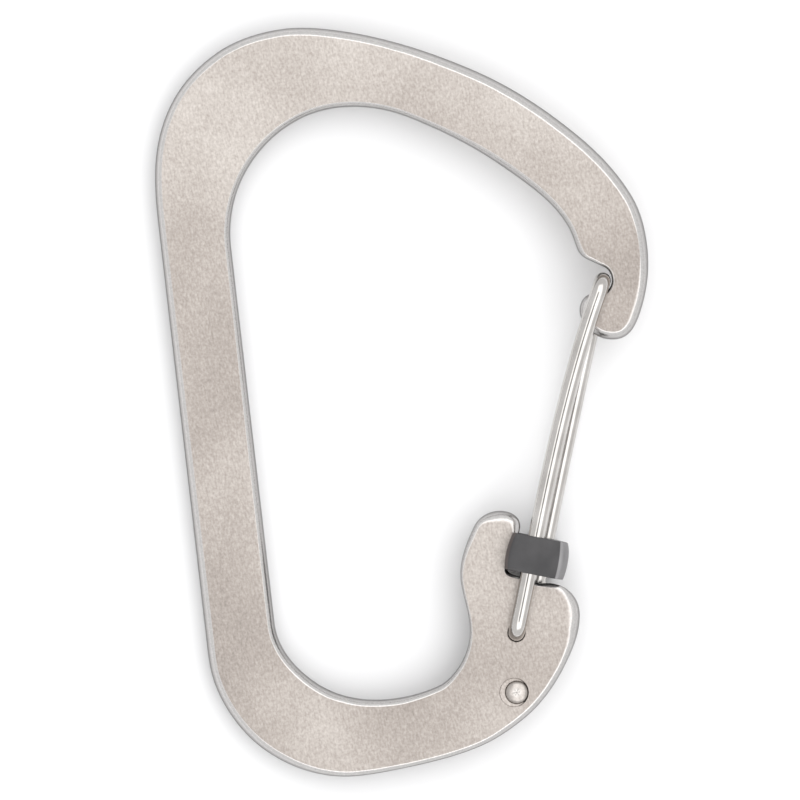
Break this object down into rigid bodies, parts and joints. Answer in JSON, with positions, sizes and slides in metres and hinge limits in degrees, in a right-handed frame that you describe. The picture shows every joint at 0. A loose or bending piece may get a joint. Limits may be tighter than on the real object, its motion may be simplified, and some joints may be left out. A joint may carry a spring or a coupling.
{
  "type": "wire-gate carabiner keyring",
  "caption": "Flat D-shaped steel carabiner keyring with a bent-wire gate that swings inward and a small plastic slider on the gate that locks it shut",
  "frame": {"origin": "middle of the flat inner wall of the straight spine, on the plate's mid-plane", "axes": "+X points from the spine to the gate, +Y runs along the spine towards the nose end, +Z points out of the front face, on the side of the upper gate pivot's wire leg"},
  "size_m": [0.0518, 0.0804, 0.0092],
  "materials": {
    "plate_steel": "satin, fine vertical grain, rounded bright edges",
    "wire_steel": "smooth, drawn, glossy",
    "slider_plastic": "fine matt moulding with a parting line"
  },
  "bodies": {
    "body": {"frame_plate": "plate_steel"},
    "gate": {"gate_wire_front": "wire_steel"},
    "gate_rear_leg": {"gate_wire_rear": "wire_steel"},
    "lock": {"lock_slider": "slider_plastic"}
  },
  "joints": [
    {"name": "gate_hinge", "type": "hinge", "parent": "body", "child": "gate", "pos_m": [0.0256, -0.027, 0], "axis": [0, 0, 1], "range_deg": [0, 20], "stiffness_Nm_per_rad": 0.12, "springref_deg": -20.05},
    {"name": "rear_leg_turn", "type": "hinge", "parent": "gate", "child": "gate_rear_leg", "pos_m": [0.0391, 0.0094, 0], "axis": [0, 0, 1], "range_deg": [-3, 0]},
    {"name": "lock_slide", "type": "slide", "parent": "gate", "child": "lock", "axis": [0.333, 0.9429, 0], "range_m": [0, 0.021]}
  ],
  "couplings": [
    {"joint": "rear_leg_turn", "follows": "gate_hinge", "ratio": -0.1397},
    {"joint": "lock_slide", "follows": "gate_hinge", "m_per_rad": 0.06016}
  ]
}
